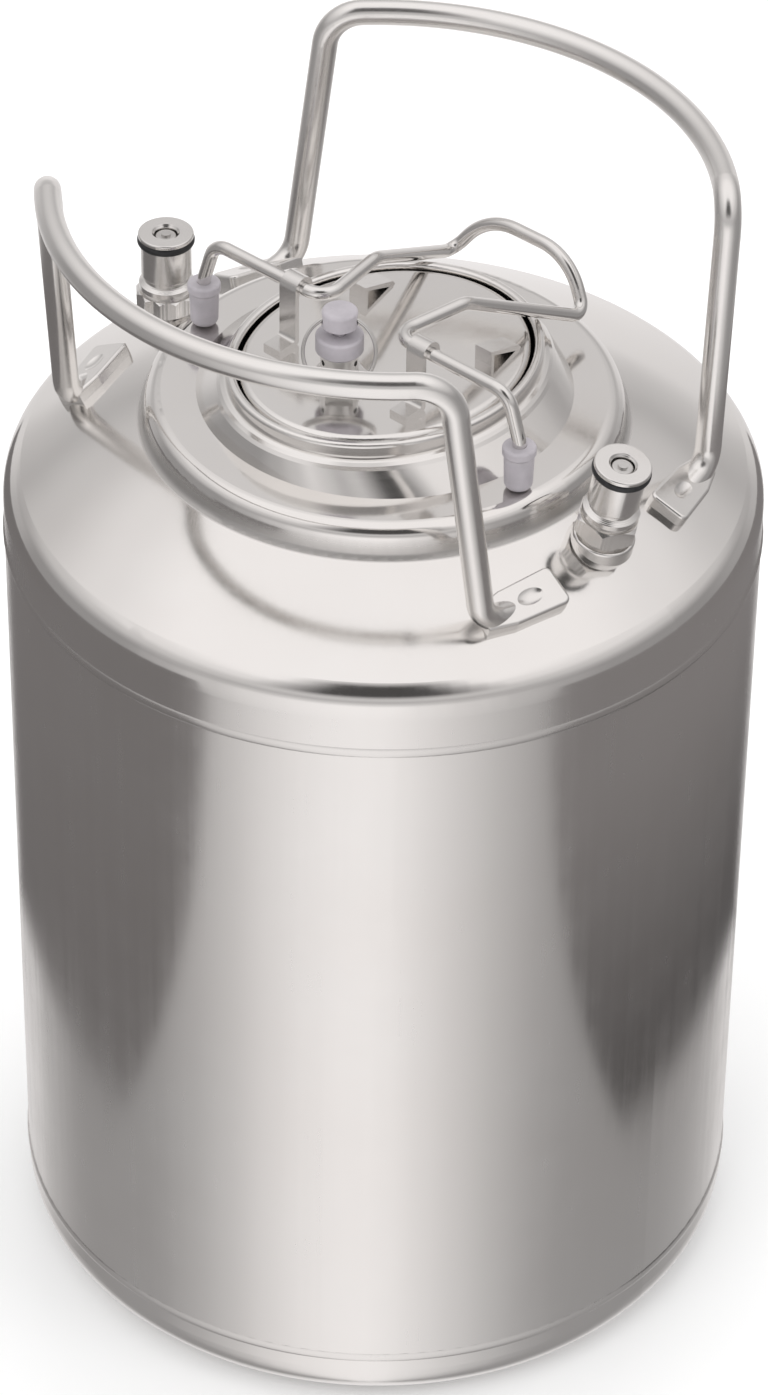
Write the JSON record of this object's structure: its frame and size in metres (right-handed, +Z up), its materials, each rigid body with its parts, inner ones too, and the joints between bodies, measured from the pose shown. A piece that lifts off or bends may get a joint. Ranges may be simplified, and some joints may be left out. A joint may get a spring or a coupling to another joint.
{
  "type": "beer keg",
  "caption": "Small stainless-steel ball-lock beer keg: domed cylinder, oval lid clamped by a wire bail, relief valve, liquid and gas posts, and rod handles.",
  "frame": {"origin": "centre of the standing ring, on the plane the keg stands on", "axes": "+Z up along the keg axis; +X towards the liquid post, -X towards the gas post; -Y towards the front handle; the bail turns about a line parallel to X"},
  "size_m": [0.231, 0.231, 0.3895],
  "materials": {
    "shell_satin": "satin, fine upright polishing lines",
    "head_polished": "bright polish",
    "weld_bead": "ground weld bead",
    "handle_rod": "polished rod",
    "lid_polished": "bright polish",
    "bracket_steel": "satin sheet",
    "bail_rod": "polished wire",
    "boot_grey": "moulded grey plastic",
    "relief_steel": "turned",
    "relief_grey": "smooth pale grey",
    "post_steel": "turned",
    "spring_steel": "drawn wire",
    "seal_rubber": "moulded black rubber"
  },
  "bodies": {
    "keg": {"shell_cylinder": "shell_satin", "top_head": "head_polished", "bottom_head": "head_polished", "upper_girth_weld": "weld_bead", "lower_girth_weld": "weld_bead", "lid_collar": "head_polished", "front_handle": "handle_rod", "rear_handle": "handle_rod", "liquid_spud": "post_steel", "liquid_post": "post_steel", "liquid_post_oring": "seal_rubber", "liquid_poppet_spring": "spring_steel", "liquid_dip_tube": "post_steel", "liquid_dip_tube_oring": "seal_rubber", "gas_spud": "post_steel", "gas_post": "post_steel", "gas_post_oring": "seal_rubber", "gas_poppet_spring": "spring_steel", "gas_dip_tube": "post_steel", "gas_dip_tube_oring": "seal_rubber"},
    "lid": {"lid_plate": "lid_polished", "lid_oring": "seal_rubber", "bail_bracket_left": "bracket_steel", "bail_bracket_right": "bracket_steel", "bail_clip_left": "bracket_steel", "bail_clip_right": "bracket_steel", "relief_body": "relief_steel", "relief_bonnet": "relief_grey", "relief_nut": "relief_steel", "relief_spring": "spring_steel"},
    "bail": {"bail_wire": "bail_rod", "bail_boot_left": "boot_grey", "bail_boot_right": "boot_grey"},
    "liquid_valve": {"liquid_poppet": "post_steel", "liquid_poppet_seal": "seal_rubber"},
    "gas_valve": {"gas_poppet": "post_steel", "gas_poppet_seal": "seal_rubber"},
    "relief_pull": {"relief_stem": "relief_grey", "relief_seal": "seal_rubber"},
    "pull_ring": {"relief_ring": "spring_steel"}
  },
  "joints": [
    {"name": "lid_drop", "type": "slide", "parent": "keg", "child": "lid", "axis": [0, 0, -1], "range_m": [0, 0.003]},
    {"name": "bail_swing", "type": "hinge", "parent": "lid", "child": "bail", "pos_m": [0, -0.012, 0.347], "axis": [1, 0, 0], "range_deg": [0, 110]},
    {"name": "liquid_poppet_press", "type": "slide", "parent": "keg", "child": "liquid_valve", "axis": [-0.2079, 0, -0.9781], "range_m": [0, 0.003], "stiffness_N_per_m": 600, "springref_m": -0.002, "deforming": ["liquid_poppet_spring"]},
    {"name": "gas_poppet_press", "type": "slide", "parent": "keg", "child": "gas_valve", "axis": [0, 0, -1], "range_m": [0, 0.003], "stiffness_N_per_m": 600, "springref_m": -0.002, "deforming": ["gas_poppet_spring"]},
    {"name": "relief_lift", "type": "slide", "parent": "lid", "child": "relief_pull", "axis": [0, 0, 1], "range_m": [0, 0.003], "stiffness_N_per_m": 900, "springref_m": -0.002, "deforming": ["relief_spring"]},
    {"name": "pull_ring_swing", "type": "hinge", "parent": "relief_pull", "child": "pull_ring", "pos_m": [0, -0.0205, 0.351], "axis": [-0.7547, -0.6561, 0], "range_deg": [0, 120]}
  ],
  "couplings": [
    {"joint": "lid_drop", "follows": "bail_swing", "m_per_rad": 0.00156}
  ]
}
